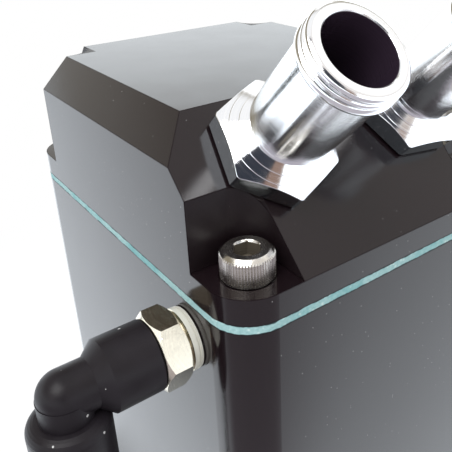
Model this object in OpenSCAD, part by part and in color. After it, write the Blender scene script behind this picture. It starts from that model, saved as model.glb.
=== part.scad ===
// Oil catch can: a square tank with a bolted lid, two hose spigots on the lid's
// sloping front, and a sight tube between two push-in elbows on the left side.
// Origin: middle of the tank's underside. +Z up, front towards -Y, sight tube towards -X.
// Lengths are in millimetres. A thread is a plain cylinder at its outside diameter.

/* [Tank body] */
// Width of the tank, left to right
body_w = 67; // [62:1:90]
// Depth of the tank, front to back
body_d = 83; // [76:1:120]
// Height of the tank from its underside to the gasket
body_h = 105; // [95:1:160]
// Radius of the tank's upright corners
corner_r = 7.6; // [6:0.1:9]
// Thickness of the tank's side walls
wall = 3; // [2.5:0.1:4]
// Thickness of the tank's floor
floor_t = 6; // [5.5:0.1:9]

/* [Gasket] */
// Thickness of the gasket
gasket_t = 1.5; // [0.8:0.1:2.5]

/* [Lid] */
// Height of the lid above the gasket
lid_h = 27.3; // [26.5:0.1:31]
// Thickness of the lid's flange, where the screws clamp it
flange_t = 4.7; // [4:0.1:5.4]
// Size of the 45 degree chamfers along the lid's top edges
edge_chamfer = 6; // [3:0.1:7]
// Thickness of the lid's walls and roof
lid_wall = 5; // [4:0.1:5.5]
// Thickness left between a screw pocket and the lid's hollow
pocket_web = 3; // [2:0.1:4]

/* [Lid screws] */
// Distance of each screw axis from the two nearest sides
screw_in = 7.1; // [6.8:0.1:7.6]
// Thread diameter of the lid screws
screw_d = 5; // [4:0.1:5.4]
// Head diameter of the lid screws
head_d = 8.72; // [7.5:0.01:9]
// Head height of the lid screws
head_h = 5; // [4:0.1:6]
// Width across flats of the head's socket
socket_af = 4; // [3:0.1:4.5]
// Length of the shank under the head
shank_l = 18; // [14:0.5:24]
// Radius of the pocket around each screw
pocket_r = 5.4; // [4.9:0.1:6]
// Depth of the seat that the head is sunk into
seat_depth = 0.3; // [0.1:0.1:1]
// Clearance around the head in its seat
seat_clear = 0.2; // [0.1:0.05:0.4]
// Clearance around the shank where it passes the lid and the gasket
pass_clear = 0.3; // [0.1:0.05:0.5]

/* [Hose fittings] */
// Distance of each hose fitting's axis from the nearest side
hose_in = 18; // [16.5:0.5:20]
// Distance of each fitting's axis from the foot of the slope, along the slope
hose_up = 21.7; // [20:0.1:22]
// Outside diameter of the hose spigot
hose_od = 15; // [13:0.1:15.6]
// Diameter of the bore through the fitting
hose_bore = 11.5; // [8:0.1:12]
// Diameter of the bead that holds the hose
bead_d = 16; // [15.7:0.1:17]
// Height of the spigot's end above the slope
hose_l = 28; // [20:0.5:50]
// Width across flats of the fitting's hexagon
hose_af = 19; // [19:0.1:20]
// Height of the hexagon's corner edges
hose_hex_h = 3.15; // [2:0.05:4]
// Thread diameter of the fitting
hose_thread_d = 16; // [15:0.1:16.2]
// Length of the thread below the slope
hose_thread_l = 8; // [6:0.5:10]
// Angle at which the left fitting's hexagon stands
hex_turn_left = 22; // [0:1:59]
// Angle at which the right fitting's hexagon stands
hex_turn_right = 53; // [0:1:59]
// Thickness of the sealing ring under each fitting
seal_section = 1.2; // [1:0.1:1.4]
// Gap that the sealing ring keeps between hexagon and lid
seal_gap = 0.4; // [0.2:0.1:0.6]

/* [Push-in elbows] */
// Distance of the elbows' axis from the tank's front
elbow_in = 15.2; // [15:0.1:20]
// Depth of the upper elbow's axis below the top of the tank
elbow_down = 7.3; // [6.5:0.1:20]
// Height of the lower elbow's axis above the tank's underside
elbow_low = 16; // [14:0.5:30]
// Distance of the upright legs from the tank's side
elbow_reach = 21.2; // [20:0.1:26]
// Thread diameter of the studs
stud_thread_d = 9.7; // [8:0.1:9.8]
// Length of the stud's thread inside the tank's boss
stud_thread_l = 7.5; // [5:0.5:9]
// Width across flats of the stud's hexagon
stud_af = 12; // [11.8:0.1:13]
// Length of the stud's hexagon
stud_hex_l = 4.5; // [3:0.1:5]
// Turn of the studs' hexagons, where tightening stopped them
stud_turn = 31.5; // [0:0.5:59]
// Distance of the hexagon from the tank's side
stud_stand = 2.4; // [2.2:0.1:3]
// Diameter of the elbow's horizontal barrel
barrel_d = 12; // [11.8:0.1:13]
// Diameter of the elbow's upright leg
leg_d = 12.9; // [12.6:0.1:14]
// Diameter of the slim part of the elbow between barrel and leg
knuckle_d = 8.2; // [7:0.1:9]
// Distance of the leg's end from the elbow's axis
leg_l = 19.5; // [19:0.5:24]
// Diameter of the oil passage through stud and elbow
passage_d = 4; // [2.5:0.1:4.2]

/* [Sight tube] */
// Outside diameter of the sight tube
tube_od = 6; // [5.6:0.1:6.2]
// Inside diameter of the sight tube
tube_id = 4; // [2.5:0.1:4.5]
// Travel of a release collar when it is pressed
collar_travel = 1; // [0.5:0.1:1.1]

/* [Baffle] */
// Height of the baffle plate above the tank's floor
baffle_up = 72; // [70:1:76]
// Thickness of the baffle plate
baffle_t = 1.5; // [1:0.1:3]
// Clearance between the baffle plate and the tank's walls
baffle_clear = 0.5; // [0.3:0.1:1]
// Diameter of the baffle's holes
baffle_hole_d = 4; // [2:0.1:5]
// Spacing of the baffle's holes
baffle_pitch = 8; // [7:0.5:12]

/* [Drain] */
// Distance of the drain plug from the tank's middle, towards the front
drain_front = 18; // [14:1:24]
// Thread diameter of the drain plug
drain_d = 9.7; // [8:0.1:11]
// Diameter of the drain plug's collar
drain_collar_d = 14; // [13:0.1:16]
// Height of the drain plug's collar
drain_collar_h = 2.6; // [2:0.1:3]
// Thickness of the drain plug's washer
drain_washer_t = 1; // [0.5:0.1:1.5]
// Length of the drain plug's thread
drain_l = 8; // [6:0.5:9]

/* [Rear mounting holes] */
// Distance between the mounting holes, left to right
mount_x = 40; // [30:1:42]
// Distance between the mounting holes, bottom to top
mount_z = 44; // [30:1:46]
// Height of the lower mounting holes above the tank's underside
mount_low = 25; // [20:1:27]
// Diameter of the mounting holes
mount_d = 6; // [4:0.5:7]
// Depth of the mounting holes
mount_l = 9; // [6:0.5:10]

/* [Fits] */
// Clearance between pieces that are screwed or pushed together
fit_gap = 0.05; // [0.02:0.01:0.1]
// Clearance between a release collar and what it slides in or on
run_gap = 0.08; // [0.05:0.01:0.1]

/* [Hidden] */
$fn = 64;

half_w = body_w / 2;
half_d = body_d / 2;
lid_z = body_h + gasket_t;
// Overshoot of a cutting shape past the face that it cuts
cut = 1;
// Side of the square screw pocket, measured from the tank's corner
pocket = screw_in + pocket_r;
// Height and run of the 45 degree slope
slope_rise = lid_h - flange_t;
// Length that a 45 degree face moves along an axis for one unit of thickness
diag = sqrt(2);
// Depth of the tapped screw holes below the top of the tank
tapped_l = shank_l - flange_t + seat_depth - gasket_t + 2;

// Hose fitting outline, as heights above the slope
thirty = tan(30);
hose_hex_r = hose_af / sqrt(3);
hex_face_r = hose_af / 2 - 0.45;
hex_corner_z = seal_gap + hose_hex_h;
hex_face_z = hex_corner_z + (hose_hex_r - hex_face_r) * thirty;
collar_r = hose_od / 2 + 0.8;
collar_z = hex_face_z + 1.5;
root_r = collar_r - 0.15;
root_z = collar_z + root_r - hose_od / 2 + 1.8;
bead_z = hose_l - 2.6;
seal_r = hose_thread_d / 2 + fit_gap + seal_section / 2;

// Elbow and stud, as distances from the tank's side
elbow_y = elbow_in - half_d;
elbow_top = body_h - elbow_down;
hex_end = stud_stand + stud_hex_l;
socket_r = 4.35;
stud_r = socket_r - fit_gap;
stud_seal_t = 1.3;
stud_seal_x = hex_end + 3.4;
snap_x = hex_end + 6.5;
snap_l = 1;
snap_h = 0.3;
stud_end = hex_end + 8.4;
barrel_end = hex_end + 8;
barrel_start = hex_end + 0.07;
taper_l = (barrel_d - knuckle_d) / 2 * 1.15;
boss_r = stud_thread_d / 2 + 2.6;
boss_l = stud_thread_l + 1.5;
ring_r = stud_thread_d / 2 + 0.65;

// Upright leg, as distances from the elbow's axis
shoulder = 3.7;
shoulder_r = 2;
tube_stop = 5.5;
seal_start = 10.5;
seal_end = 13.2;
tube_r = tube_od / 2;
tube_seal_r = tube_r + 1.6;
cartridge_r = tube_r + 1.9;
grab_t = 0.4;
sleeve_start = seal_end + grab_t + 0.2;
sleeve_wall = 0.65;
collar_nose = sleeve_start + 0.1 + collar_travel;
collar_stop = leg_l + collar_travel + 0.2;
collar_flange_t = 1.8;
collar_flange_r = leg_d / 2 - 0.85;

// Baffle, drain and mounting bosses
lug_r = 4.5;
lug_h = 12;
baffle_z = floor_t + baffle_up;
lug_in = wall + 3;
baffle_screw_d = 3;
baffle_screw_l = 8;
drain_recess_h = drain_collar_h + drain_washer_t + 0.1;
drain_boss_h = drain_recess_h + drain_l + 1 - floor_t;
mount_boss_r = mount_d / 2 + 2.5;

// Points of a quarter circle about c, from angle a0 to a1
function arc(c, r, a0, a1, steps = 6) = [
    for (i = [0 : steps])
        let (a = a0 + (a1 - a0) * i / steps)
            [c[0] + r * cos(a), c[1] + r * sin(a)]
];

// Rectangle between two corners given in any order
module box2(x0, x1, y0, y1) {
    translate([min(x0, x1), min(y0, y1)])
        square([abs(x1 - x0), abs(y1 - y0)]);
}

// Rectangle about the origin with rounded corners
module rounded_plan(w, d, r) {
    square([w - 2 * r, d], center = true);
    square([w, d - 2 * r], center = true);
    for (sx = [-1, 1], sy = [-1, 1])
        translate([sx * (w / 2 - r), sy * (d / 2 - r)])
            circle(r);
}

// Square region at one corner of the tank, its inner corner rounded about the screw
module corner_plan(sx, sy, side, r) {
    cx = half_w - side + r;
    cy = half_d - side + r;
    box2(sx * cx, sx * (half_w + cut), sy * (half_d - side), sy * (half_d + cut));
    box2(sx * (half_w - side), sx * (half_w + cut), sy * cy, sy * (half_d + cut));
    translate([sx * cx, sy * cy])
        circle(r);
}

// Hollow inside a wall of the given thickness, clear of the four corner posts
module cavity_plan(inset, side, r) {
    difference() {
        square([body_w - 2 * inset, body_d - 2 * inset], center = true);
        for (sx = [-1, 1], sy = [-1, 1])
            corner_plan(sx, sy, side, r);
    }
}

// Places its children at one lid screw, at height z
module at_screw(sx, sy, z) {
    translate([sx * (half_w - screw_in), sy * (half_d - screw_in), z])
        children();
}

// Places its children on the slope at one hose fitting, +Z out of the slope
module at_hose(sx) {
    translate([sx * (half_w - hose_in), hose_up / diag - half_d, lid_z + flange_t + hose_up / diag])
        rotate([45, 0, 0])
            children();
}

// Places its children on an elbow's stud axis, +Z away from the tank
module at_stud(z) {
    translate([-half_w, elbow_y, z])
        rotate([0, -90, 0])
            children();
}

// Places its children on the drain plug's axis, at height z
module at_drain(z) {
    translate([0, -drain_front, z])
        children();
}

// Places its children on the upright leg's axis, +Z towards the leg's end
module at_leg(z, down) {
    translate([-half_w - elbow_reach, elbow_y, z])
        rotate([down ? 180 : 0, 0, 0])
            children();
}

// Hexagonal prism between two heights
module hexagon(af, z0, z1, turn = 0) {
    translate([0, 0, z0])
        rotate([0, 0, turn])
            cylinder(r = af / sqrt(3), h = z1 - z0, $fn = 6);
}

// Ring of round section about Z
module o_ring(r, section, z) {
    translate([0, 0, z])
        rotate_extrude()
            translate([r, 0])
                circle(d = section, $fn = 24);
}

module tank_shell() {
    difference() {
        linear_extrude(body_h)
            rounded_plan(body_w, body_d, corner_r);
        translate([0, 0, floor_t])
            linear_extrude(body_h)
                cavity_plan(wall, pocket, pocket_r);
    }
}

// Bosses that stand inside the tank around its threaded holes
module tank_bosses() {
    intersection() {
        linear_extrude(body_h)
            square([body_w, body_d], center = true);
        for (z = [elbow_low, elbow_top])
            at_stud(z)
                translate([0, 0, -boss_l])
                    cylinder(r = boss_r, h = boss_l - wall / 2);
    }
    for (sx = [-1, 1], z = [mount_low, mount_low + mount_z])
        translate([sx * mount_x / 2, half_d - wall / 2, z])
            rotate([90, 0, 0])
                cylinder(r = mount_boss_r, h = mount_l + 2 - wall / 2);
    for (sy = [-1, 1])
        translate([0, sy * (half_d - lug_in), baffle_z - lug_h])
            baffle_lug(sy);
    at_drain(floor_t / 2)
        cylinder(r = drain_d / 2 + 3, h = drain_boss_h + floor_t / 2);
}

// Lug that carries one end of the baffle plate
module baffle_lug(sy) {
    cylinder(r = lug_r, h = lug_h);
    linear_extrude(lug_h)
        box2(-lug_r, lug_r, 0, sy * (lug_in - wall / 2));
}

// Holes through or into the tank's walls, floor and lugs
module tank_holes() {
    for (sx = [-1, 1], sy = [-1, 1])
        at_screw(sx, sy, body_h - tapped_l)
            cylinder(d = screw_d + 2 * fit_gap, h = tapped_l + cut);
    for (z = [elbow_low, elbow_top])
        at_stud(z) {
            translate([0, 0, -boss_l - cut])
                cylinder(d = stud_thread_d + 2 * fit_gap, h = boss_l + 2 * cut);
            translate([0, 0, -0.4])
                cylinder(r1 = stud_thread_d / 2 + fit_gap, r2 = stud_thread_d / 2 + fit_gap + 0.8, h = 0.8);
        }
    for (sx = [-1, 1], z = [mount_low, mount_low + mount_z])
        translate([sx * mount_x / 2, half_d + cut, z])
            rotate([90, 0, 0])
                cylinder(d = mount_d, h = mount_l + cut);
    for (sy = [-1, 1])
        translate([0, sy * (half_d - lug_in), baffle_z - baffle_screw_l])
            cylinder(d = baffle_screw_d + 2 * fit_gap, h = baffle_screw_l + cut);
    at_drain(-cut) {
        cylinder(d = drain_d + 2 * fit_gap, h = floor_t + drain_boss_h + 2 * cut);
        cylinder(d = drain_collar_d + 1, h = drain_recess_h + cut);
    }
}

module tank_body() {
    color([0.14, 0.13, 0.14])
        difference() {
            union() {
                tank_shell();
                tank_bosses();
            }
            tank_holes();
        }
}

module gasket() {
    color([0.42, 0.72, 0.70])
        translate([0, 0, body_h])
            difference() {
                linear_extrude(gasket_t)
                    difference() {
                        rounded_plan(body_w, body_d, corner_r);
                        cavity_plan(wall + 1, pocket + 1, pocket_r);
                    }
                for (sx = [-1, 1], sy = [-1, 1])
                    at_screw(sx, sy, -cut)
                        cylinder(d = screw_d + 2 * pass_clear, h = gasket_t + 2 * cut);
            }
}

// Side outline of the lid or of its hollow, t inside the lid's outer faces
module lid_side(t, foot) {
    front = t - half_d;
    rear = half_d - t;
    top = lid_h - t;
    polygon([
        [front, foot],
        [front, flange_t + t - t * diag],
        [front + top - flange_t - t + t * diag, top],
        [rear - edge_chamfer - t + t * diag, top],
        [rear, top - edge_chamfer - t + t * diag],
        [rear, foot]
    ]);
}

// Front outline of the lid or of its hollow, t inside the lid's outer faces
module lid_front(t, foot) {
    side = half_w - t;
    top = lid_h - t;
    drop = edge_chamfer + t - t * diag;
    polygon([
        [-side, foot], [-side, top - drop], [drop - side, top],
        [side - drop, top], [side, top - drop], [side, foot]
    ]);
}

// Solid with the lid's sloping front and chamfered edges, t inside its outer faces
module lid_form(t, foot) {
    intersection() {
        rotate([90, 0, 90])
            linear_extrude(body_w + 2 * cut, center = true)
                lid_side(t, foot);
        rotate([90, 0, 0])
            linear_extrude(body_d + 2 * cut, center = true)
                lid_front(t, foot);
    }
}

module lid() {
    color([0.14, 0.13, 0.14])
        difference() {
            translate([0, 0, lid_z])
                intersection() {
                    linear_extrude(lid_h)
                        rounded_plan(body_w, body_d, corner_r);
                    lid_form(0, 0);
                }
            translate([0, 0, lid_z + flange_t])
                for (sx = [-1, 1], sy = [-1, 1])
                    linear_extrude(lid_h)
                        corner_plan(sx, sy, pocket, pocket_r);
            translate([0, 0, lid_z])
                intersection() {
                    lid_form(lid_wall, -cut);
                    translate([0, 0, -cut])
                        linear_extrude(lid_h)
                            cavity_plan(lid_wall, pocket + pocket_web, pocket_r);
                }
            for (sx = [-1, 1], sy = [-1, 1])
                at_screw(sx, sy, lid_z) {
                    translate([0, 0, -cut])
                        cylinder(d = screw_d + 2 * pass_clear, h = flange_t + 2 * cut);
                    translate([0, 0, flange_t - seat_depth])
                        cylinder(d = head_d + 2 * seat_clear, h = seat_depth + cut);
                }
            for (sx = [-1, 1])
                at_hose(sx)
                    translate([0, 0, -hose_thread_l - 2])
                        cylinder(d = hose_thread_d + 2 * fit_gap, h = hose_thread_l + 2 + cut);
        }
}

// Socket head screw: knurled head with a bevelled top and a hexagonal socket
module cap_screw(sx, sy) {
    bevel = 0.75;
    color([0.75, 0.74, 0.70])
        at_screw(sx, sy, lid_z + flange_t - seat_depth)
            difference() {
                rotate_extrude()
                    polygon([
                        [0, -shank_l], [screw_d / 2 - 0.5, -shank_l], [screw_d / 2, 0.5 - shank_l],
                        [screw_d / 2, 0], [head_d / 2 - 0.15, 0], [head_d / 2, 0.15],
                        [head_d / 2, head_h - bevel], [head_d / 2 - bevel, head_h], [0, head_h]
                    ]);
                hexagon(socket_af, head_h / 2, head_h + cut, 15);
                translate([0, 0, head_h - 0.3])
                    cylinder(d1 = socket_af, d2 = socket_af + 0.9, h = 0.45);
            }
}

// Outline of the hose fitting from its thread to its lip, without the hexagon
module hose_outline() {
    bore_r = hose_bore / 2;
    thread_r = hose_thread_d / 2;
    tube = hose_od / 2;
    bead = bead_d / 2;
    polygon(concat(
        [[bore_r, -hose_thread_l], [thread_r - 0.6, -hose_thread_l], [thread_r, 0.6 - hose_thread_l]],
        [[thread_r, seal_gap + 1], [hex_face_r - 0.15, seal_gap + 1], [hex_face_r - 0.15, hex_face_z + 0.1]],
        [[collar_r, collar_z], [root_r, collar_z + 0.05], [tube + 0.2, root_z - 0.3]],
        [[tube, root_z], [tube, bead_z]],
        arc([bead - 0.6, bead_z + 0.75], 0.6, -50, 50, 5),
        [[tube + 0.05, hose_l - 1.15], [tube + 0.25, hose_l - 0.9]],
        arc([tube - 0.25, hose_l - 0.5], 0.5, 0, 90, 4),
        [[bore_r + 0.2, hose_l], [bore_r, hose_l - 0.2]]
    ));
}

// Hexagon with its top corners turned away, hollow under its face for the sealing ring
module hose_hexagon(turn) {
    difference() {
        intersection() {
            hexagon(hose_af, seal_gap, hex_face_z + 0.1, turn);
            rotate_extrude()
                polygon([
                    [0, seal_gap], [hose_hex_r - 0.4, seal_gap], [hose_hex_r + cut, seal_gap + 0.8],
                    [hose_hex_r + cut, hex_corner_z - cut * thirty], [hex_face_r, hex_face_z],
                    [0, hex_face_z]
                ]);
        }
        cylinder(r = hose_thread_d / 2 - 0.5, h = hex_face_z + cut);
        cylinder(r = seal_r + seal_section / 2 + fit_gap / 2, h = seal_section + fit_gap);
    }
}

module hose_fitting(sx, turn) {
    color([0.86, 0.87, 0.88])
        at_hose(sx) {
            rotate_extrude()
                hose_outline();
            hose_hexagon(turn);
        }
}

module hose_seal(sx) {
    color([0.05, 0.05, 0.05])
        at_hose(sx)
            o_ring(seal_r, seal_section, seal_section / 2 + fit_gap / 2);
}

// Threaded stud: thread, seating ring, hexagon and the spigot that snaps into the elbow
module stud(z) {
    passage_r = passage_d / 2;
    thread_r = stud_thread_d / 2;
    groove_r = socket_r - stud_seal_t;
    snap_r = stud_r + snap_h;
    color([0.78, 0.74, 0.66])
        at_stud(z) {
            rotate_extrude()
                polygon([
                    [passage_r, -stud_thread_l], [thread_r - 0.5, -stud_thread_l],
                    [thread_r, 0.5 - stud_thread_l], [thread_r, 0.15],
                    [ring_r - 0.1, 0.2], [ring_r - 0.05, 0.6], [ring_r - 0.35, 0.7],
                    [ring_r - 0.35, 0.85], [ring_r, 0.95], [ring_r, stud_stand - 0.7],
                    [ring_r - 0.15, stud_stand - 0.55], [ring_r - 0.9, stud_stand - 0.5],
                    [ring_r - 0.9, hex_end - 0.5], [stud_r, hex_end - 0.5],
                    [stud_r, stud_seal_x], [groove_r, stud_seal_x],
                    [groove_r, stud_seal_x + stud_seal_t + 0.2], [stud_r, stud_seal_x + stud_seal_t + 0.2],
                    [stud_r, snap_x], [snap_r, snap_x + 0.1], [snap_r, snap_x + snap_l - 0.3],
                    [stud_r, snap_x + snap_l], [stud_r - 0.3, stud_end], [passage_r, stud_end]
                ]);
            difference() {
                intersection() {
                    hexagon(stud_af, stud_stand, hex_end, stud_turn);
                    stud_chamfer();
                }
                cylinder(r = thread_r - 0.5, h = hex_end + cut);
            }
        }
}

// Turned form that takes the corners off both ends of the stud's hexagon
module stud_chamfer() {
    hex_r = stud_af / sqrt(3);
    face_r = stud_af / 2 - 0.1;
    out_r = hex_r + cut;
    drop = (out_r - face_r) * 0.75;
    rotate_extrude()
        polygon([
            [0, stud_stand], [face_r, stud_stand], [out_r, stud_stand + drop],
            [out_r, hex_end - drop], [face_r, hex_end], [0, hex_end]
        ]);
}

module stud_seal(z) {
    color([0.05, 0.05, 0.05])
        at_stud(z)
            o_ring(socket_r - stud_seal_t / 2, stud_seal_t - 0.1, stud_seal_x + stud_seal_t / 2 + 0.1);
}

// Outline of the elbow's horizontal barrel
module barrel_outline() {
    r = barrel_d / 2;
    k = knuckle_d / 2;
    polygon([
        [0, barrel_start], [r - 0.3, barrel_start], [r, barrel_start + 0.3],
        [r, barrel_end], [k, barrel_end + taper_l], [k, elbow_reach], [0, elbow_reach]
    ]);
}

// Outline of the elbow's upright leg
module leg_outline() {
    r = leg_d / 2;
    k = knuckle_d / 2 + 0.1;
    polygon(concat(
        [[0, 0], [k, 0], [k, shoulder]],
        arc([r - shoulder_r, shoulder + shoulder_r], shoulder_r, -90, 0),
        [[r, leg_l - 0.3], [r - 0.3, leg_l], [0, leg_l]]
    ));
}

module elbow(z, down) {
    color([0.10, 0.10, 0.11])
        difference() {
            union() {
                at_stud(z)
                    rotate_extrude()
                        barrel_outline();
                at_leg(z, down) {
                    rotate_extrude()
                        leg_outline();
                    sphere(d = knuckle_d);
                }
            }
            at_stud(z) {
                cylinder(r = socket_r, h = stud_end + 0.1);
                translate([0, 0, snap_x - 0.05])
                    cylinder(r = socket_r + snap_h, h = snap_l + 0.1);
                cylinder(d = passage_d, h = elbow_reach);
            }
            at_leg(z, down) {
                cylinder(d = passage_d, h = tube_stop + cut);
                translate([0, 0, tube_stop])
                    cylinder(r = tube_r + fit_gap, h = leg_l);
                translate([0, 0, seal_start])
                    cylinder(r = tube_seal_r, h = leg_l);
                translate([0, 0, seal_end])
                    cylinder(r = cartridge_r, h = leg_l);
            }
        }
}

// Rubber seal around the end of the sight tube
module tube_seal(z, down) {
    inner = tube_r + fit_gap / 2;
    outer = tube_seal_r - fit_gap;
    lip = 0.4;
    color([0.06, 0.06, 0.06])
        at_leg(z, down)
            rotate_extrude()
                polygon([
                    [inner + lip, seal_start + fit_gap], [outer - lip, seal_start + fit_gap],
                    [outer, seal_start + lip], [outer, seal_end - lip], [outer - lip, seal_end - fit_gap],
                    [inner + lip, seal_end - fit_gap], [inner, seal_end - 2 * lip],
                    [inner, seal_start + 2 * lip]
                ]);
}

// Toothed spring ring that grips the sight tube
module grab_ring(z, down) {
    teeth = 8;
    inner = tube_r + 0.25;
    root = inner + 0.8;
    color([0.70, 0.70, 0.72])
        at_leg(z, down)
            translate([0, 0, seal_end])
                difference() {
                    cylinder(r = cartridge_r - fit_gap, h = grab_t);
                    translate([0, 0, -cut])
                        cylinder(r = inner, h = grab_t + 2 * cut);
                    for (i = [0 : teeth - 1])
                        rotate([0, 0, i * 360 / teeth])
                            translate([0, -0.3, -cut])
                                cube([root, 0.6, grab_t + 2 * cut]);
                }
}

// Brass sleeve pressed into the leg, in which the release collar slides
module guide_sleeve(z, down) {
    inner = cartridge_r - fit_gap - sleeve_wall;
    color([0.72, 0.58, 0.30])
        at_leg(z, down)
            translate([0, 0, sleeve_start])
                difference() {
                    cylinder(r = cartridge_r - fit_gap, h = leg_l - sleeve_start);
                    translate([0, 0, -cut])
                        cylinder(r = inner, h = leg_l);
                }
}

// Collar that lets go of the sight tube when it is pressed into the leg
module release_collar(z, down) {
    outer = cartridge_r - fit_gap - sleeve_wall - run_gap;
    inner = tube_r + run_gap;
    end = collar_stop + collar_flange_t;
    color([0.11, 0.11, 0.12])
        at_leg(z, down)
            rotate_extrude()
                polygon([
                    [inner, collar_nose], [outer - 0.4, collar_nose], [outer, collar_nose + 0.4],
                    [outer, collar_stop], [collar_flange_r, collar_stop],
                    [collar_flange_r, end - 0.5], [collar_flange_r - 0.5, end],
                    [inner + 0.4, end], [inner, end - 0.4]
                ]);
}

module sight_tube() {
    color([0.85, 0.88, 0.90, 0.45])
        translate([-half_w - elbow_reach, elbow_y, elbow_low + tube_stop])
            difference() {
                cylinder(r = tube_r, h = elbow_top - elbow_low - 2 * tube_stop);
                translate([0, 0, -cut])
                    cylinder(d = tube_id, h = elbow_top - elbow_low);
            }
}

// Perforated plate that keeps splashed oil down, notched around the upper elbow's boss
module baffle_plate() {
    inset = wall + baffle_clear;
    columns = floor((body_w - 2 * pocket - 6) / baffle_pitch / 2);
    rows = floor((body_d - 2 * pocket - 4) / baffle_pitch / 2);
    color([0.70, 0.71, 0.72])
        translate([0, 0, baffle_z])
            difference() {
                linear_extrude(baffle_t)
                    difference() {
                        cavity_plan(inset, pocket + baffle_clear, pocket_r);
                        box2(-half_w, boss_l + baffle_clear - half_w,
                            elbow_y - boss_r - baffle_clear, elbow_y + boss_r + baffle_clear);
                    }
                for (i = [-columns : columns], j = [-rows : rows])
                    if (abs(j) < rows || i != 0)
                        translate([i * baffle_pitch, j * baffle_pitch, -cut])
                            cylinder(d = baffle_hole_d, h = baffle_t + 2 * cut, $fn = 24);
                for (sy = [-1, 1])
                    translate([0, sy * (half_d - lug_in), -cut])
                        cylinder(d = baffle_screw_d + 2 * pass_clear, h = baffle_t + 2 * cut);
            }
}

// Pan head screw that holds one end of the baffle plate
module baffle_screw(sy) {
    pan_r = baffle_screw_d;
    pan_h = 2;
    color([0.72, 0.72, 0.72])
        translate([0, sy * (half_d - lug_in), baffle_z + baffle_t])
            difference() {
                rotate_extrude()
                    polygon(concat(
                        [[0, 0.5 - baffle_screw_l], [baffle_screw_d / 2, 0.5 - baffle_screw_l]],
                        [[baffle_screw_d / 2, 0], [pan_r, 0]],
                        arc([pan_r - 1, pan_h - 1], 1, 0, 90, 4),
                        [[0, pan_h]]
                    ));
                for (a = [0, 90])
                    rotate([0, 0, a])
                        translate([-1.5, -0.3, pan_h - 1.1])
                            cube([3, 0.6, 2]);
            }
}

// Socket plug flush in the tank's underside
module drain_plug() {
    top = drain_recess_h - drain_washer_t;
    color([0.20, 0.20, 0.22])
        at_drain(0) difference() {
            rotate_extrude()
                polygon([
                    [0, 0.1], [drain_collar_d / 2 - 0.5, 0.1], [drain_collar_d / 2, 0.6],
                    [drain_collar_d / 2, top], [drain_d / 2, top],
                    [drain_d / 2, drain_recess_h + drain_l - 0.5],
                    [drain_d / 2 - 0.5, drain_recess_h + drain_l], [0, drain_recess_h + drain_l]
                ]);
            hexagon(5, -cut, 5);
        }
}

module drain_washer() {
    color([0.72, 0.45, 0.30])
        at_drain(drain_recess_h - drain_washer_t)
            difference() {
                cylinder(d = drain_collar_d, h = drain_washer_t);
                translate([0, 0, -cut])
                    cylinder(d = drain_d + 2 * fit_gap, h = drain_washer_t + 2 * cut);
            }
}

tank_body();
gasket();
lid();
cap_screw(-1, -1);  // cap_screw_front_left
cap_screw(1, -1);  // cap_screw_front_right
cap_screw(-1, 1);  // cap_screw_rear_left
cap_screw(1, 1);  // cap_screw_rear_right
hose_fitting(-1, hex_turn_left);  // hose_fitting_left
hose_fitting(1, hex_turn_right);  // hose_fitting_right
hose_seal(-1);  // hose_seal_left
hose_seal(1);  // hose_seal_right
stud(elbow_top);  // stud_upper
stud(elbow_low);  // stud_lower
stud_seal(elbow_top);  // stud_seal_upper
stud_seal(elbow_low);  // stud_seal_lower
elbow(elbow_top, true);  // elbow_upper
elbow(elbow_low, false);  // elbow_lower
tube_seal(elbow_top, true);  // tube_seal_upper
tube_seal(elbow_low, false);  // tube_seal_lower
grab_ring(elbow_top, true);  // grab_ring_upper
grab_ring(elbow_low, false);  // grab_ring_lower
guide_sleeve(elbow_top, true);  // guide_sleeve_upper
guide_sleeve(elbow_low, false);  // guide_sleeve_lower
release_collar(elbow_top, true);  // release_collar_upper
release_collar(elbow_low, false);  // release_collar_lower
sight_tube();
baffle_plate();
baffle_screw(-1);  // baffle_screw_front
baffle_screw(1);  // baffle_screw_rear
drain_plug();
drain_washer();
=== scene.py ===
"""Finishes, fine shapes, light and camera for the oil catch can."""

import math

import bmesh
import bpy
from mathutils import Matrix, Vector


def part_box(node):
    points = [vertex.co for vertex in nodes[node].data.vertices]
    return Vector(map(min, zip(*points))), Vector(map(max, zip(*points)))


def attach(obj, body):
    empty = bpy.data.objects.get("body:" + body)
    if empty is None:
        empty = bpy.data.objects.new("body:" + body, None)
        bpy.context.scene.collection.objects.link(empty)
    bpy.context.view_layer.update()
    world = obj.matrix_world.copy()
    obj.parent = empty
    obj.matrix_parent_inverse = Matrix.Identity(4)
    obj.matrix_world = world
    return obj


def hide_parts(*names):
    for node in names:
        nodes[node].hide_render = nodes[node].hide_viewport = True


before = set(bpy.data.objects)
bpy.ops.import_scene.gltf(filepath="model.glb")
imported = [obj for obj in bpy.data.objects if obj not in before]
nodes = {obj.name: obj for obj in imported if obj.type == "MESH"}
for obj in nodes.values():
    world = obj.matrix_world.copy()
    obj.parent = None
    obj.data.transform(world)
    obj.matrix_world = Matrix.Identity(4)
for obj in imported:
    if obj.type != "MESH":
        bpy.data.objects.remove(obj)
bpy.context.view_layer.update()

MM = 0.001
CAN = "can"

# The can's own directions and places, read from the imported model. Distances are those of the part's source.
tank_low, tank_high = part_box("tank_body")
lid_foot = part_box("lid")[0].z
FLANGE = 4.7 * MM
flange_top = lid_foot + FLANGE
POCKET = 12.5 * MM
SLOPE = math.radians(45)
SPIGOT_AXIS = Vector((0, -math.sin(SLOPE), math.cos(SLOPE)))
SPIGOT_FOOT_UP = 21.7 * MM
spigot_foot = Vector((
    0,
    tank_low.y + SPIGOT_FOOT_UP * math.cos(SLOPE),
    flange_top + SPIGOT_FOOT_UP * math.sin(SLOPE),
))
SPIGOT_SIDE = 15.5 * MM
SPIGOT_BORE = 5.75 * MM
SPIGOT_LENGTH = 28.0 * MM


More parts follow.
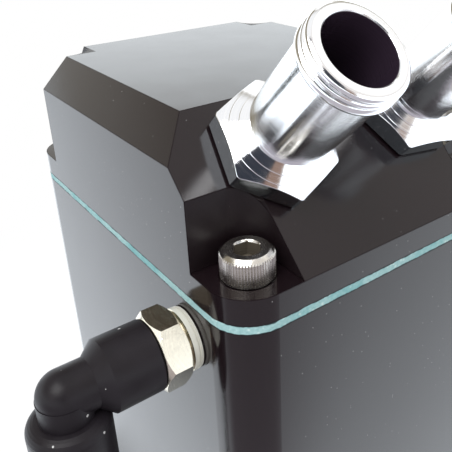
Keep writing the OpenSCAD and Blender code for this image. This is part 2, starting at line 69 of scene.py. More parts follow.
def node(tree, kind, **settings):
    """A new node; settings are its properties, or input values where the name is an input."""
    made = tree.nodes.new(kind)
    for key, value in settings.items():
        if hasattr(made, key):
            setattr(made, key, value)
        else:
            made.inputs[key.replace("_", " ")].default_value = value
    return made


def plug(tree, source, target):
    """Links an output socket to an input socket."""
    tree.links.new(source, target)


def maths(tree, operation, first, second=None, third=None, clamp=False):
    """A Math node on sockets or numbers; returns its output."""
    made = tree.nodes.new("ShaderNodeMath")
    made.operation = operation
    made.use_clamp = clamp
    for slot, value in enumerate((first, second, third)):
        if value is None:
            continue
        if isinstance(value, bpy.types.NodeSocket):
            tree.links.new(value, made.inputs[slot])
        else:
            made.inputs[slot].default_value = value
    return made.outputs[0]


def vector_maths(tree, operation, first, second=None):
    """A Vector Math node on sockets or vectors; returns the node."""
    made = tree.nodes.new("ShaderNodeVectorMath")
    made.operation = operation
    for slot, value in enumerate((first, second)):
        if value is None:
            continue
        if isinstance(value, bpy.types.NodeSocket):
            tree.links.new(value, made.inputs[slot])
        else:
            made.inputs[slot].default_value = value
    return made


def remap(tree, value, low, high, to_low=0.0, to_high=1.0):
    """Maps a value from one range to another, smoothly and clamped."""
    made = tree.nodes.new("ShaderNodeMapRange")
    made.interpolation_type = "SMOOTHSTEP"
    tree.links.new(value, made.inputs["Value"])
    for name, number in (("From Min", low), ("From Max", high), ("To Min", to_low), ("To Max", to_high)):
        if isinstance(number, bpy.types.NodeSocket):
            tree.links.new(number, made.inputs[name])
        else:
            made.inputs[name].default_value = number
    return made.outputs["Result"]


def blend(tree, factor, first, second):
    """Mixes two colours; each may be a socket or a colour."""
    made = tree.nodes.new("ShaderNodeMix")
    made.data_type = "RGBA"
    for slot, value in ((0, factor), (6, first), (7, second)):
        if isinstance(value, bpy.types.NodeSocket):
            tree.links.new(value, made.inputs[slot])
        elif slot == 0:
            made.inputs[slot].default_value = value
        else:
            made.inputs[slot].default_value = (*value, 1.0)
    return made.outputs[2]


def effect(name, inputs, outputs):
    """A shader node group with named sockets; returns (group, its input node, its output node)."""
    tree = bpy.data.node_groups.new(name, "ShaderNodeTree")
    for label, kind, value in inputs:
        socket = tree.interface.new_socket(label, in_out="INPUT", socket_type=kind)
        socket.default_value = value
    for label, kind in outputs:
        tree.interface.new_socket(label, in_out="OUTPUT", socket_type=kind)
    return tree, tree.nodes.new("NodeGroupInput"), tree.nodes.new("NodeGroupOutput")


FLOAT = "NodeSocketFloat"
VECTOR = "NodeSocketVector"


def position(tree, kind="Object"):
    """The shaded point's coordinates; for the world, Generated gives the direction of the ray."""
    return tree.nodes.new("ShaderNodeTexCoord").outputs[kind]


def axes_of(tree, vector):
    """The X, Y and Z outputs of a vector."""
    split = tree.nodes.new("ShaderNodeSeparateXYZ")
    plug(tree, vector, split.inputs[0])
    return split.outputs


def shades(tint, darkest, palest):
    """A darker and a paler shade of a colour."""
    return [darkest * part for part in tint], [palest * part for part in tint]


def make_grain():
    """Fine random grain: a tone from 0 to 1 and a height."""
    tree, given, result = effect(
        "Fine grain",
        [("Scale", FLOAT, 1200.0), ("Contrast", FLOAT, 1.0)],
        [("Tone", FLOAT), ("Height", FLOAT)],
    )
    noise = node(tree, "ShaderNodeTexNoise", Detail=4.0, Roughness=0.65)
    plug(tree, position(tree), noise.inputs["Vector"])
    plug(tree, given.outputs["Scale"], noise.inputs["Scale"])
    centred = maths(tree, "SUBTRACT", noise.outputs[0], 0.5)
    scaled = maths(tree, "MULTIPLY", centred, given.outputs["Contrast"])
    plug(tree, maths(tree, "ADD", scaled, 0.5, clamp=True), result.inputs["Tone"])
    plug(tree, noise.outputs[0], result.inputs["Height"])
    return tree


def make_specks():
    """Scattered specks, such as dust or nicks: a mask that is 1 on a speck."""
    tree, given, result = effect(
        "Specks",
        [("Scale", FLOAT, 600.0), ("Amount", FLOAT, 0.2), ("Size", FLOAT, 0.2)],
        [("Mask", FLOAT)],
    )
    cells = node(tree, "ShaderNodeTexVoronoi", Randomness=1.0)
    plug(tree, position(tree), cells.inputs["Vector"])
    plug(tree, given.outputs["Scale"], cells.inputs["Scale"])
    chosen = tree.nodes.new("ShaderNodeSeparateColor")
    plug(tree, cells.outputs["Color"], chosen.inputs[0])
    kept = maths(tree, "LESS_THAN", chosen.outputs[0], given.outputs["Amount"])
    size = maths(tree, "MULTIPLY", chosen.outputs[1], given.outputs["Size"])
    near = maths(tree, "LESS_THAN", cells.outputs["Distance"], size)
    plug(tree, maths(tree, "MULTIPLY", kept, near), result.inputs["Mask"])
    return tree


def make_turning():
    """Lines left by turning round an axis: rings on a side, circles on an end face."""
    tree, given, result = effect(
        "Turning lines",
        [("Centre", VECTOR, (0, 0, 0)), ("Axis", VECTOR, (0, 0, 1)), ("Scale", FLOAT, 4000.0)],
        [("Tone", FLOAT), ("Height", FLOAT), ("Along", FLOAT), ("Radius", FLOAT)],
    )
    offset = vector_maths(tree, "SUBTRACT", position(tree), given.outputs["Centre"])
    along = vector_maths(tree, "DOT_PRODUCT", offset.outputs[0], given.outputs["Axis"])
    across = vector_maths(tree, "CROSS_PRODUCT", offset.outputs[0], given.outputs["Axis"])
    radius = vector_maths(tree, "LENGTH", across.outputs[0])
    travel = maths(tree, "ADD", along.outputs["Value"], radius.outputs["Value"])
    plug(tree, along.outputs["Value"], result.inputs["Along"])
    plug(tree, radius.outputs["Value"], result.inputs["Radius"])
    noise = node(tree, "ShaderNodeTexNoise", noise_dimensions="1D", Detail=3.0, Roughness=0.7)
    plug(tree, travel, noise.inputs["W"])
    plug(tree, given.outputs["Scale"], noise.inputs["Scale"])
    plug(tree, noise.outputs[0], result.inputs["Tone"])
    plug(tree, noise.outputs[0], result.inputs["Height"])
    return tree


def make_edges():
    """Edges: a mask that is 1 where the surface turns sharply."""
    tree, given, result = effect(
        "Edges",
        [("Width", FLOAT, 0.2 * MM), ("Sharpness", FLOAT, 0.1)],
        [("Mask", FLOAT)],
    )
    rounded = tree.nodes.new("ShaderNodeBevel")
    rounded.samples = 4
    plug(tree, given.outputs["Width"], rounded.inputs["Radius"])
    plain = tree.nodes.new("ShaderNodeNewGeometry")
    same = vector_maths(tree, "DOT_PRODUCT", rounded.outputs[0], plain.outputs["Normal"])
    turned = maths(tree, "SUBTRACT", 1.0, same.outputs["Value"])
    plug(tree, remap(tree, turned, 0.0, given.outputs["Sharpness"]), result.inputs["Mask"])
    return tree


GRAIN = make_grain()
SPECKS = make_specks()
TURNING = make_turning()
EDGES = make_edges()


def placed(tree, group, **values):
    """An effect group placed in a material with its own values."""
    made = tree.nodes.new("ShaderNodeGroup")
    made.node_tree = group
    for name, value in values.items():
        made.inputs[name].default_value = value
    return made


def surface(name, **shader_values):
    """A new material; returns (material, its node tree, its Principled shader)."""
    material = bpy.data.materials.new(name)
    material.use_nodes = True
    tree = material.node_tree
    shader = tree.nodes["Principled BSDF"]
    for key, value in shader_values.items():
        shader.inputs[key.replace("_", " ")].default_value = value
    return material, tree, shader


def raise_bumps(tree, shader, height, distance, strength=1.0):
    """Feeds a height to the shader's normal through a Bump node; distance is in metres."""
    bump = node(tree, "ShaderNodeBump", Strength=strength, Distance=distance)
    plug(tree, height, bump.inputs["Height"])
    plug(tree, bump.outputs[0], shader.inputs["Normal"])


def in_screw_pocket(tree):
    """1 on the milled walls of the lid's four screw pockets, else 0."""
    margin, above_floor = 0.1 * MM, 0.3 * MM
    limits = {
        "X": tank_high.x - POCKET - margin,
        "Y": tank_high.y - POCKET - margin,
        "Z": flange_top + above_floor,
    }
    axes = axes_of(tree, vector_maths(tree, "ABSOLUTE", position(tree)).outputs[0])
    inside = 1.0
    for axis, limit in limits.items():
        beyond = maths(tree, "GREATER_THAN", axes[axis], limit)
        inside = maths(tree, "MULTIPLY", beyond, inside)
    return inside


def black_anodised():
    """Satin black anodised aluminium with a trace of dust, and painted shade: little sheen on edges and in
    pockets.
    """
    material, tree, shader = surface("black anodised aluminium", Metallic=0.0, IOR=1.47)
    grain = placed(tree, GRAIN, Scale=2500.0, Contrast=1.2)
    broad = placed(tree, GRAIN, Scale=60.0, Contrast=1.5)
    dust = placed(tree, SPECKS, Scale=1400.0, Amount=0.09, Size=0.13)
    edges = placed(tree, EDGES, Width=0.32 * MM, Sharpness=0.05)
    darkest, palest, grey_dust = (0.006, 0.003, 0.004), (0.013, 0.008, 0.010), (0.30, 0.30, 0.30)
    face_sheen, painted_shade_edge_sheen, painted_pocket_shade_loss = 0.5, 0.04, 0.18
    smooth, satin, pocket_dullness = 0.11, 0.17, 0.24
    base = blend(tree, grain.outputs["Tone"], darkest, palest)
    plug(tree, blend(tree, dust.outputs[0], base, grey_dust), shader.inputs["Base Color"])
    pocket = in_screw_pocket(tree)
    # Painted shade: the sheen drops almost to nothing on every edge, drawing dark lines where the parts meet
    # the gasket
    sheen = remap(tree, edges.outputs[0], 0.0, 1.0, face_sheen, painted_shade_edge_sheen)
    # Painted shade in the screw pockets: their walls lose sheen, darker as a recess in shadow; they are also
    # rougher
    painted_pocket_shade = maths(tree, "MULTIPLY", pocket, painted_pocket_shade_loss)
    plug(tree, maths(tree, "SUBTRACT", sheen, painted_pocket_shade, clamp=True), shader.inputs["Specular IOR Level"])
    outside = remap(tree, broad.outputs["Tone"], 0.2, 0.8, smooth, satin)
    dull = maths(tree, "MULTIPLY", pocket, pocket_dullness)
    plug(tree, maths(tree, "ADD", outside, dull), shader.inputs["Roughness"])
    raise_bumps(tree, shader, grain.outputs["Height"], 0.01 * MM, 0.3)
    return material


def teal_gasket():
    """Speckled teal gasket sheet whose dark ragged borders are partly broken edge, partly painted shade of
    the gaps.
    """
    material, tree, shader = surface("teal gasket sheet", Roughness=0.7)
    grain = placed(tree, GRAIN, Scale=1800.0, Contrast=2.0)
    ragged = placed(tree, GRAIN, Scale=500.0, Contrast=2.5)
    fibres = placed(tree, SPECKS, Scale=1500.0, Amount=0.35, Size=0.5)
    stains = placed(tree, GRAIN, Scale=90.0, Contrast=2.0)
    teal, pale_teal, fibre = (0.20, 0.39, 0.40), (0.40, 0.60, 0.61), (0.48, 0.64, 0.63)
    stain, dark_cut_and_gap_shade = (0.11, 0.36, 0.38), (0.012, 0.040, 0.045)
    raggedness, edge_start, edge_end = 0.30 * MM, 0.74 * MM, 0.84 * MM
    base = blend(tree, grain.outputs["Tone"], teal, pale_teal)
    flecked = blend(tree, fibres.outputs[0], base, fibre)
    clean = remap(tree, stains.outputs["Tone"], 0.2, 0.55, 0.35, 1.0)
    sheet = blend(tree, clean, stain, flecked)
    # Dark borders along the top and bottom: partly the sheet's broken edge, partly painted shade in the gaps
    # by the metal
    middle = (tank_high.z + lid_foot) / 2
    height = axes_of(tree, position(tree))["Z"]
    from_middle = maths(tree, "ABSOLUTE", maths(tree, "SUBTRACT", height, middle))
    reach = maths(tree, "MULTIPLY_ADD", ragged.outputs["Tone"], raggedness, from_middle)
    cut_edge_and_gap_shade = remap(tree, reach, edge_start, edge_end)
    plug(tree, blend(tree, cut_edge_and_gap_shade, sheet, dark_cut_and_gap_shade), shader.inputs["Base Color"])
    raise_bumps(tree, shader, grain.outputs["Height"], 0.05 * MM, 0.5)
    return material


def turned_metal(
    name, centre, axis, pale, dark, roughness, scale=5000.0, stretch=0.0, bore=None, flats=None, collar=None
):
    """Bright metal turned on a lathe round an axis.

    bore: (radius, colour, mouth) of a hole up to the height of its mouth, not metallic, in a dark colour that
    is painted shade in the hole, over the hole's own dull finish. flats: (radius, colour) of milled sides
    beyond a
    radius. collar: (start, end, colour) of a dull stretch of the axis. stretch: how far highlights are drawn
    out across the turning lines.
    """
    material, tree, shader = surface(name, Metallic=1.0)
    lines = placed(tree, TURNING, Centre=centre, Axis=axis, Scale=scale)
    grain = placed(tree, GRAIN, Scale=900.0, Contrast=1.0)
    colour = blend(tree, lines.outputs["Tone"], dark, pale)
    if bore:
        # Painted shade: the inside of the hole gets a dark, non-metal colour, as if in shadow; partly its own
        # dull finish
        radius, tint, mouth = bore
        rim_start, rim_end = radius + 0.02 * MM, radius + 0.12 * MM
        outside = remap(tree, lines.outputs["Radius"], rim_start, rim_end)
        above = maths(tree, "GREATER_THAN", lines.outputs["Along"], mouth)
        outside = maths(tree, "MAXIMUM", outside, above)
        rings = blend(tree, lines.outputs["Tone"], *shades(tint, 0.6, 1.3))
        colour = blend(tree, outside, rings, colour)
        plug(tree, outside, shader.inputs["Metallic"])
    if collar:
        start, end, tint = collar
        beyond = maths(tree, "GREATER_THAN", lines.outputs["Along"], start)
        before = maths(tree, "LESS_THAN", lines.outputs["Along"], end)
        bare = maths(tree, "SUBTRACT", 1.0, maths(tree, "MULTIPLY", beyond, before))
        colour = blend(tree, bare, tint, colour)
        plug(tree, bare, shader.inputs["Metallic"])
    facing = tree.nodes.new("ShaderNodeNewGeometry")
    if flats:
        radius, tint = flats
        beyond = maths(tree, "GREATER_THAN", lines.outputs["Radius"], radius)
        level = vector_maths(tree, "DOT_PRODUCT", facing.outputs["Normal"], axis)
        upright = maths(tree, "LESS_THAN", maths(tree, "ABSOLUTE", level.outputs["Value"]), 0.5)
        dust = placed(tree, SPECKS, Scale=1300.0, Amount=0.20, Size=0.26)
        glint = (0.95, 0.95, 0.95)
        milled = blend(tree, grain.outputs["Tone"], *shades(tint, 0.8, 1.2))
        milled = blend(tree, dust.outputs[0], milled, glint)
        colour = blend(tree, maths(tree, "MULTIPLY", beyond, upright), colour, milled)
    plug(tree, colour, shader.inputs["Base Color"])
    mixed = maths(tree, "ADD", lines.outputs["Tone"], grain.outputs["Tone"])
    smoothest, roughest = 0.7 * roughness, 1.4 * roughness
    plug(tree, remap(tree, mixed, 0.5, 1.5, smoothest, roughest), shader.inputs["Roughness"])
    raise_bumps(tree, shader, lines.outputs["Height"], 0.012 * MM, 0.8)
    if stretch:
        shader.inputs["Anisotropic"].default_value = stretch
        offset = vector_maths(tree, "SUBTRACT", position(tree), centre)
        around = vector_maths(tree, "CROSS_PRODUCT", axis, offset.outputs[0])
        turned = node(
            tree, "ShaderNodeVectorTransform",
            vector_type="VECTOR", convert_from="OBJECT", convert_to="WORLD",
        )
        plug(tree, around.outputs[0], turned.inputs[0])
        across = vector_maths(tree, "CROSS_PRODUCT", turned.outputs[0], facing.outputs["Normal"])
        plug(tree, across.outputs[0], shader.inputs["Tangent"])
    return material


def black_plastic():
    """Matt moulded black plastic."""
    material, tree, shader = surface("moulded black plastic", IOR=1.45, Specular_IOR_Level=0.24)
    grain = placed(tree, GRAIN, Scale=1500.0, Contrast=1.0)
    flow = placed(tree, GRAIN, Scale=160.0, Contrast=1.6)
    dust = placed(tree, SPECKS, Scale=700.0, Amount=0.10, Size=0.18)
    darkest, palest, grey_dust = (0.010, 0.008, 0.010), (0.017, 0.014, 0.018), (0.5, 0.5, 0.5)
    base = blend(tree, flow.outputs["Tone"], darkest, palest)
    plug(tree, blend(tree, dust.outputs[0], base, grey_dust), shader.inputs["Base Color"])
    plug(tree, remap(tree, flow.outputs["Tone"], 0.2, 0.8, 0.36, 0.5), shader.inputs["Roughness"])
    raise_bumps(tree, shader, grain.outputs["Height"], 0.03 * MM, 0.5)
    return material


def black_rubber():
    """Dull black sealing rubber."""
    material, tree, shader = surface("black sealing rubber", Roughness=0.6)
    grain = placed(tree, GRAIN, Scale=900.0, Contrast=1.0)
    tone = blend(tree, grain.outputs["Tone"], (0.010, 0.010, 0.010), (0.025, 0.025, 0.025))
    plug(tree, tone, shader.inputs["Base Color"])
    return material


def brushed_sheet():
    """Plain aluminium sheet with a fine brushed grain."""
    material, tree, shader = surface("plain aluminium sheet", Metallic=1.0)
    grain = placed(tree, GRAIN, Scale=1200.0, Contrast=1.4)
    tone = blend(tree, grain.outputs["Tone"], (0.52, 0.53, 0.54), (0.70, 0.71, 0.72))
    plug(tree, tone, shader.inputs["Base Color"])
    plug(tree, remap(tree, grain.outputs["Tone"], 0.0, 1.0, 0.3, 0.45), shader.inputs["Roughness"])
    return material


def clear_plastic():
    """Clear plastic tube."""
    material, tree, shader = surface("clear tube plastic", IOR=1.45, Transmission_Weight=0.92)
    grain = placed(tree, GRAIN, Scale=300.0, Contrast=1.0)
    tone = blend(tree, grain.outputs["Tone"], (0.84, 0.86, 0.86), (0.93, 0.94, 0.93))
    plug(tree, tone, shader.inputs["Base Color"])
    plug(tree, remap(tree, grain.outputs["Tone"], 0.0, 1.0, 0.06, 0.14), shader.inputs["Roughness"])
    return material


def wear_finish(material, *names):
    """Puts one finish on CAD nodes."""
    for name in names:
        mesh = nodes[name].data
        mesh.materials.clear()
        mesh.materials.append(material)


def soften(name, width, angle=30.0, segments=2):
    """Breaks a CAD node's sharp edges by a small rounding."""
    owner = nodes[name]
    flat = owner.modifiers.new("one face for each flat", "DECIMATE")
    flat.decimate_type = "DISSOLVE"
    flat.angle_limit = math.radians(0.5)
    edge = owner.modifiers.new("broken edges", "BEVEL")
    edge.width = width
    edge.segments = segments
    edge.limit_method = "ANGLE"
    edge.angle_limit = math.radians(angle)
    edge.harden_normals = True


HERE = Vector((0, 0, 0))
UP_AXIS = Vector((0, 0, 1))
SIDE_AXIS = Vector((-1, 0, 0))

wear_finish(black_anodised(), "tank_body", "lid")
wear_finish(teal_gasket(), "gasket")
wear_finish(black_plastic(), "elbow_upper", "elbow_lower", "release_collar_upper", "release_collar_lower")
wear_finish(
    black_rubber(), "hose_seal_left", "hose_seal_right", "stud_seal_upper", "stud_seal_lower",
    "tube_seal_upper", "tube_seal_lower",
)
wear_finish(
    turned_metal(
        "turned aluminium", HERE, SPIGOT_AXIS, (0.95, 0.955, 0.96), (0.82, 0.83, 0.86), 0.115, stretch=0.75,
        # The bore's dark plum is painted shade inside the spigot's bore
        bore=(SPIGOT_BORE, (0.034, 0.022, 0.036), SPIGOT_LENGTH), flats=(9.3 * MM, (0.40, 0.43, 0.46)),
    ),
    "hose_fitting_left", "hose_fitting_right",
)
for level in ("upper", "lower"):
    low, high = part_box("stud_" + level)
    foot = Vector((tank_low.x, (low.y + high.y) / 2, (low.z + high.z) / 2))
    wear_finish(
        turned_metal(
            "plated brass " + level, foot, SIDE_AXIS, (0.86, 0.81, 0.69), (0.64, 0.57, 0.45), 0.2, 3000.0,
            flats=(5.95 * MM, (0.74, 0.70, 0.60)), collar=(0.15 * MM, 1.75 * MM, (0.66, 0.65, 0.58)),
        ),
        "stud_" + level,
    )
    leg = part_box("guide_sleeve_" + level)
    middle = (leg[0] + leg[1]) / 2
    wear_finish(
        turned_metal("brass " + level, middle, UP_AXIS, (0.80, 0.62, 0.32), (0.62, 0.46, 0.22), 0.25),
        "guide_sleeve_" + level,
    )
wear_finish(
    turned_metal(
        "nickel plate", HERE, UP_AXIS, (0.80, 0.78, 0.73), (0.60, 0.57, 0.53), 0.22,
        # The socket's dark brown is painted shade inside the hexagon socket
        bore=(2.4 * MM, (0.10, 0.085, 0.065), 4.75 * MM),
    ),
    "cap_screw_front_left", "cap_screw_front_right", "cap_screw_rear_left", "cap_screw_rear_right",
)
wear_finish(
    brushed_sheet(), "baffle_plate", "grab_ring_upper", "grab_ring_lower", "baffle_screw_front",
    "baffle_screw_rear", "drain_plug",
)
wear_finish(
    turned_metal("copper", HERE, UP_AXIS, (0.80, 0.50, 0.36), (0.62, 0.36, 0.25), 0.3), "drain_washer"
)
wear_finish(clear_plastic(), "sight_tube")

soften("lid", 0.3 * MM)
soften("tank_body", 0.3 * MM)


def arc(height, radius, bend, start, end, steps):
    """Points (height, radius) of a round stretch; its angles in degrees, 0 outward and 90 up the axis."""
    turns = [math.radians(start + (end - start) * step / steps) for step in range(steps + 1)]
    return [(height + bend * math.sin(turn), radius + bend * math.cos(turn)) for turn in turns]


def ridge(height, radius, bend, end, flat):
    """Points of a rounded ridge whose upper side has a narrow flat at 30 degrees to the end face."""
    slant = math.radians(30)
    lift, drawn_in = flat * math.sin(slant), flat * math.cos(slant)
    root, turn_in = -40, 60
    lower = arc(height, radius, bend, root, turn_in, 12)
    return lower + arc(height + lift, radius - drawn_in, bend, turn_in, end, 5)


SHARP_FROM = math.radians(12)


def turned_mesh(name, rings, count, finish, lean=0.0, through=False):
    """A mesh of rings round an axis: each is (height, radius), numbers or functions of the angle.

    The axis is +Z, leant forward by an angle. The ends are capped, or with a bore right through,
    the last ring joins the first.
    """
    mesh = bmesh.new()
    loops = []
    for ring in rings:
        loop = []
        for step in range(count):
            angle = 2 * math.pi * step / count
            height, reach = (value(angle) if callable(value) else value for value in ring)
            loop.append(mesh.verts.new((reach * math.cos(angle), reach * math.sin(angle), height)))
        loops.append(loop)
    pairs = list(zip(loops, loops[1:]))
    if through:
        pairs.append((loops[-1], loops[0]))
    else:
        mesh.faces.new(list(reversed(loops[0])))
        mesh.faces.new(loops[-1])
    for lower, upper in pairs:
        for step in range(count):
            after = (step + 1) % count
            mesh.faces.new((lower[step], lower[after], upper[after], upper[step]))
    mesh.transform(Matrix.Rotation(lean, 4, "X"))
    data = bpy.data.meshes.new(name)
    mesh.to_mesh(data)
    mesh.free()
    data.materials.append(finish)
    piece = bpy.data.objects.new(name, data)
    bpy.context.scene.collection.objects.link(piece)
    for polygon in data.polygons:
        polygon.use_smooth = True
    data.set_sharp_from_angle(angle=SHARP_FROM)
    return piece


def hexagon_reach(flat, turn, corner=None):
    """Distance from the axis to a hexagon's side at an angle; corner is the radius of turned-off corners."""
    def reach(angle):
        sector = math.radians(60)
        inside = (angle - turn) % sector - sector / 2
        full = flat / math.cos(inside)
        return min(full, corner) if corner else full
    return reach


def knurled_screw(corner):
    """Socket head screw with a straight knurl, a bevelled rim and a hexagon socket, over its CAD node.

    A step of a hair's breadth keeps the edge between two faces crisp.
    """
    low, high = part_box("cap_screw_" + corner)
    head_radius = (high.x - low.x) / 2
    head_height = 5.0 * MM
    head_foot = head_radius - 0.6 * MM
    shank_radius = 2.5 * MM
    lead = 0.5 * MM
    hair = 0.02 * MM
    broken = 0.05 * MM
    groove = 0.22 * MM
    grooves = 60
    groove_slope = 1.5
    steps_per_groove = 6
    knurl_start = 0.4 * MM
    knurl_end = head_height - 0.75 * MM
    rim = head_radius - 0.75 * MM
    countersink, countersink_rim, countersink_depth = 2.36 * MM, 2.42 * MM, 0.25 * MM
    socket = 2.0 * MM
    socket_turn = math.radians(54)
    socket_floor = head_height / 2
    floor_edge = 0.3 * MM
    drill_depth, drill_radius = 0.5 * MM, 0.2 * MM
    base = high.z - head_height
    length = base - low.z

    def knurl(angle):
        """Flat lands with a narrow groove between each two."""
        phase = (angle * grooves / (2 * math.pi)) % 1.0
        return head_radius - groove * max(0.0, 1 - groove_slope * abs(2 * phase - 1))

    rings = [
        (-length, 0.4 * shank_radius), (-length, shank_radius - lead), (lead - length, shank_radius),
        (-hair, shank_radius), (0, shank_radius + hair), (0, head_foot),
        (knurl_start / 2, head_radius - groove), (knurl_start, knurl), (knurl_end, knurl),
        (knurl_end + groove, head_radius - groove), (head_height - broken, rim + hair),
        (head_height, rim - broken), (head_height, countersink_rim), (head_height - broken, countersink),
        (head_height - countersink_depth, hexagon_reach(socket, socket_turn)),
        (socket_floor, hexagon_reach(socket, socket_turn)),
        (socket_floor - hair, hexagon_reach(socket - floor_edge, socket_turn)),
        (socket_floor - drill_depth, drill_radius),
    ]
    finish = nodes["cap_screw_" + corner].data.materials[0]
    piece = turned_mesh("lid_screw_" + corner, rings, grooves * steps_per_groove, finish)
    piece.location = ((low.x + high.x) / 2, (low.y + high.y) / 2, base)
    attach(piece, CAN)
    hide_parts("cap_screw_" + corner)


def hose_spigot(side, foot, turn):
    """Turned hose spigot: hexagon with a stepped collar, tube, bead and bored lip, over its CAD node."""
    thread = 8.0 * MM
    thread_end = -8.0 * MM
    thread_lead = 0.6 * MM
    under = 0.4 * MM
    undercut = 0.25 * MM
    flat = 9.5 * MM
    corner = flat / math.cos(math.radians(30))
    corner_up = 3.55 * MM
    corner_loss = 0.15 * MM
    chamfer = math.tan(math.radians(30))
    broken = 0.05 * MM
    tube = 7.28 * MM
    tube_end = SPIGOT_LENGTH - 4.1 * MM
    bead = 8.0 * MM
    lip = 0.20 * MM
    steps = 360
    reach = hexagon_reach(flat, turn, corner - corner_loss)

    def chamfer_foot(angle):
        """Height at which a side of the hexagon meets the chamfer."""
        return corner_up + (corner - reach(angle)) * chamfer

    # Height and radius in millimetres, from the hexagon's chamfer over the stepped collar and up the tube
    collar_and_tube = (
        (4.70, 8.98), (4.78, 8.92), (5.50, 7.66), (5.60, 7.60), (6.44, 6.14), (6.52, 6.10), (7.20, 6.10),
        (7.35, 6.20), (7.70, 6.62), (7.80, 6.76), (7.88, 6.84), (8.00, 6.88), (8.30, 6.91), (11.0, 7.05),
        (17.0, 7.20),
    )
    # The bead's ridges: distance below the mouth, inset, bend, end and flat. The end is in degrees
    ridges = ((3.10, 0.80, 0.80, 75, 0.35), (1.80, 0.55, 0.45, 75, 0.22), (0.71, 0.80, 0.60, 90, 0.22))
    rings = [
        (thread_end, SPIGOT_BORE), (thread_end, thread - thread_lead), (thread_end + thread_lead, thread),
        (under, thread), (under, lambda angle: reach(angle) - undercut), (under + undercut, reach),
        (lambda angle: chamfer_foot(angle) - broken, reach),
        (lambda angle: chamfer_foot(angle) + broken / 2, lambda angle: reach(angle) - broken),
    ]
    rings += [(height * MM, radius * MM) for height, radius in collar_and_tube]
    rings += [(tube_end, tube)]
    for below, inset, bend, end, narrow in ridges:
        rings += ridge(SPIGOT_LENGTH - below * MM, bead - inset * MM, bend * MM, end, narrow * MM)
    rings += [(SPIGOT_LENGTH, SPIGOT_BORE + lip), (SPIGOT_LENGTH - lip, SPIGOT_BORE)]
    finish = nodes["hose_fitting_" + side].data.materials[0]
    piece = turned_mesh("hose_spigot_" + side, rings, steps, finish, SLOPE, through=True)
    piece.location = foot
    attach(piece, CAN)
    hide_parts("hose_fitting_" + side)


for corner in ("front_left", "front_right", "rear_left", "rear_right"):
    knurled_screw(corner)
for side, sign, turn in (("left", -1, 22), ("right", 1, 53)):
    hose_spigot(side, spigot_foot + Vector((sign * SPIGOT_SIDE, 0, 0)), math.radians(turn))


def clear_sight(tree):
    """A mask that is 1 for rays that see the background (camera, glossy, transmitted), and the ray's node."""
    ray = tree.nodes.new("ShaderNodeLightPath")
    seen = maths(tree, "MAXIMUM", ray.outputs["Is Camera Ray"], ray.outputs["Is Glossy Ray"])
    return maths(tree, "MAXIMUM", seen, ray.outputs["Is Transmission Ray"]), ray


def floor_finish():
    """Pale floor that fades to plain white away from the can and keeps the shadow beside it. In reflections
    it glows, with a painted contact shadow along the can and painted shade on the side toward the camera.
    """
    material, tree, shader = surface("pale floor", Roughness=0.9, Specular_IOR_Level=0.0)
    grain = placed(tree, GRAIN, Scale=40.0, Contrast=0.3)
    tone = blend(tree, grain.outputs["Tone"], (0.86, 0.86, 0.86), (0.90, 0.90, 0.90))
    plug(tree, tone, shader.inputs["Base Color"])
    fade_start, fade_end, contact_width, sector_edge = 0.10, 0.22, 0.02, 0.55
    painted_contact_shadow, daylight, camera_side = (0.60, 0.62, 0.64), (1.62, 1.72, 1.82), (0.54, 0.51, 0.56)
    to_camera = (-0.530, -0.848, 0)
    place = position(tree)
    spread = vector_maths(tree, "LENGTH", place)
    far = remap(tree, spread.outputs["Value"], fade_start, fade_end)
    seen, ray = clear_sight(tree)
    white = tree.nodes.new("ShaderNodeEmission")
    corner = vector_maths(tree, "SUBTRACT", place, (tank_low.x, tank_low.y, 0))
    heading = vector_maths(tree, "NORMALIZE", corner.outputs[0])
    toward = vector_maths(tree, "DOT_PRODUCT", heading.outputs[0], to_camera)
    # Painted shade: in reflections the floor is darker on the side toward the camera
    shaded = remap(tree, toward.outputs["Value"], 0.0, sector_edge)
    lit = blend(tree, shaded, daylight, camera_side)
    axes = axes_of(tree, place)
    # Painted contact shadow: in reflections the floor is darker within a few millimetres of the can
    beside = maths(tree, "SUBTRACT", maths(tree, "ABSOLUTE", axes["X"]), tank_high.x)
    before = maths(tree, "SUBTRACT", maths(tree, "ABSOLUTE", axes["Y"]), tank_high.y)
    contact_shadow_fade = remap(tree, maths(tree, "MAXIMUM", beside, before), 0.0, contact_width)
    gloss = blend(tree, contact_shadow_fade, painted_contact_shadow, lit)
    plug(tree, blend(tree, ray.outputs["Is Glossy Ray"], (1, 1, 1), gloss), white.inputs["Color"])
    mixed = tree.nodes.new("ShaderNodeMixShader")
    near_reflection = maths(tree, "MAXIMUM", far, ray.outputs["Is Glossy Ray"])
    plug(tree, maths(tree, "MULTIPLY", near_reflection, seen), mixed.inputs[0])
    plug(tree, shader.outputs[0], mixed.inputs[1])
    plug(tree, white.outputs[0], mixed.inputs[2])
    plug(tree, mixed.outputs[0], tree.nodes["Material Output"].inputs["Surface"])
    return material


def make_floor():
    """A wide plain floor under the can."""
    half = 3.0
    corners = [(-half, -half, 0), (half, -half, 0), (half, half, 0), (-half, half, 0)]
    mesh = bpy.data.meshes.new("floor")
    mesh.from_pydata(corners, [], [tuple(range(len(corners)))])
    mesh.materials.append(floor_finish())
    floor = bpy.data.objects.new("floor", mesh)
    bpy.context.scene.collection.objects.link(floor)


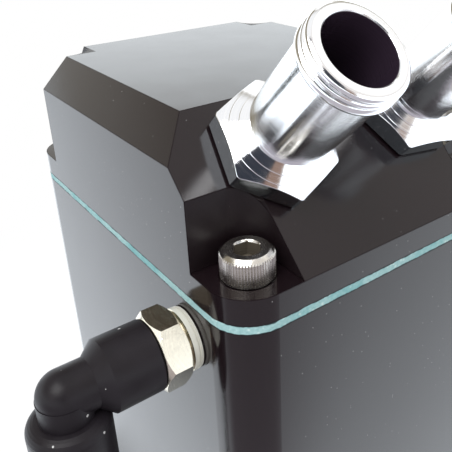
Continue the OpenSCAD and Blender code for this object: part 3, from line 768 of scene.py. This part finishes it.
def make_world():
    """Studio: white to the camera, even soft light, and a room that only gloss shows.

    A ray's direction has length 1, so its Z is the sine of its angle above the horizon.
    """
    world = bpy.data.worlds.new("studio")
    bpy.context.scene.world = world
    world.use_nodes = True
    tree = world.node_tree
    background = tree.nodes["Background"]
    fill, white = (0.75, 0.75, 0.75), (1.0, 1.0, 1.0)
    low_wall, high_wall, above = (0.88, 0.85, 0.76), (0.27, 0.23, 0.16), (1.05, 1.05, 1.05)
    camera_side, table_light = (0.95, 0.91, 0.88), (1.82, 1.92, 1.98)
    direction = position(tree, "Generated")
    axes = axes_of(tree, direction)
    height = axes["Z"]
    # The bright table ends a little higher on the right
    edge = maths(tree, "SUBTRACT", height, remap(tree, axes["X"], -0.10, 0.30, 0.0, 0.05))
    wall = blend(tree, remap(tree, height, 0.30, 0.60), low_wall, high_wall)
    ceiling = blend(tree, remap(tree, height, 0.75, 0.90), wall, above)
    front = remap(tree, axes["Y"], 0.10, -0.25)
    sky = blend(tree, front, ceiling, camera_side)
    room = blend(tree, remap(tree, edge, 0.25, 0.30), table_light, sky)
    # Round patches of the room: direction, cosine at the rim and at the full shade, shade
    for heading, reach, shade in (
        ((0.651, -0.224, 0.725), (0.978, 0.990), (1.30, 1.30, 1.27)),
        ((0.545, 0.520, 0.658), (0.970, 0.985), (1.30, 1.30, 1.28)),
        ((-0.170, -0.217, 0.961), (0.966, 0.988), (0.16, 0.15, 0.16)),
        ((-0.135, -0.961, 0.242), (0.970, 0.985), (0.30, 0.20, 0.16)),
        ((-0.389, -0.764, 0.515), (0.925, 0.955), (0.035, 0.040, 0.055)),
    ):
        facing = vector_maths(tree, "DOT_PRODUCT", direction, heading)
        room = blend(tree, remap(tree, facing.outputs["Value"], *reach), room, shade)
    seen, ray = clear_sight(tree)
    soft = blend(tree, seen, fill, white)
    plug(tree, blend(tree, ray.outputs["Is Glossy Ray"], soft, room), background.inputs["Color"])


def softbox(name, place, aim, width, height, power):
    """A rectangular lamp at a place, turned to a point."""
    lamp = bpy.data.lights.new(name, "AREA")
    lamp.shape = "RECTANGLE"
    lamp.size = width
    lamp.size_y = height
    lamp.energy = power
    holder = bpy.data.objects.new(name, lamp)
    holder.location = place
    holder.rotation_mode = "QUATERNION"
    holder.rotation_quaternion = (Vector(aim) - Vector(place)).to_track_quat("-Z", "Y")
    bpy.context.scene.collection.objects.link(holder)


def make_camera():
    """The photograph's viewpoint: place, turn in radians, lens in millimetres and the frame's offset."""
    place = (-71.64 * MM, -100.64 * MM, 164.40 * MM)
    azimuth, elevation, roll = 0.63653, 0.42633, -0.02608
    ahead = Vector((
        math.sin(azimuth) * math.cos(elevation),
        math.cos(azimuth) * math.cos(elevation),
        -math.sin(elevation),
    ))
    level = Vector((math.cos(azimuth), -math.sin(azimuth), 0))
    upright = level.cross(ahead)
    right = math.cos(roll) * level + math.sin(roll) * upright
    up = math.cos(roll) * upright - math.sin(roll) * level
    turn = Matrix((right, up, -ahead)).transposed().to_4x4()
    lens = bpy.data.cameras.new("camera")
    lens.sensor_width = 36.0
    lens.lens = 49.197
    lens.shift_x = -0.0860
    lens.shift_y = -0.1154
    lens.clip_start = 0.01
    camera = bpy.data.objects.new("camera", lens)
    camera.matrix_world = Matrix.Translation(place) @ turn
    bpy.context.scene.collection.objects.link(camera)
    bpy.context.scene.camera = camera


def dark_card(name, shade, outline):
    """A dark studio card on the floor that only reflections show."""
    mesh = bpy.data.meshes.new(name)
    mesh.from_pydata([(x, y, MM) for x, y in outline], [], [tuple(range(len(outline)))])
    material, tree, shader = surface(name, Roughness=1.0, Specular_IOR_Level=0.0)
    shader.inputs["Base Color"].default_value = (*shade, 1)
    mesh.materials.append(material)
    card = bpy.data.objects.new(name, mesh)
    card.visible_camera = False
    card.visible_shadow = False
    card.visible_diffuse = False
    card.visible_transmission = False
    bpy.context.scene.collection.objects.link(card)


make_floor()
make_world()
dark_card("card behind the can", shade=(0.05, 0.06, 0.06), outline=[
    (-0.205, 0.540), (-0.580, 1.590), (-0.950, 1.400), (-0.360, 0.510),
])
softbox("key", place=(-0.48, -0.25, 1.05), aim=(0, 0, 0.08), width=0.7, height=0.7, power=9.0)
make_camera()

scene = bpy.context.scene
scene.view_settings.view_transform = "Standard"
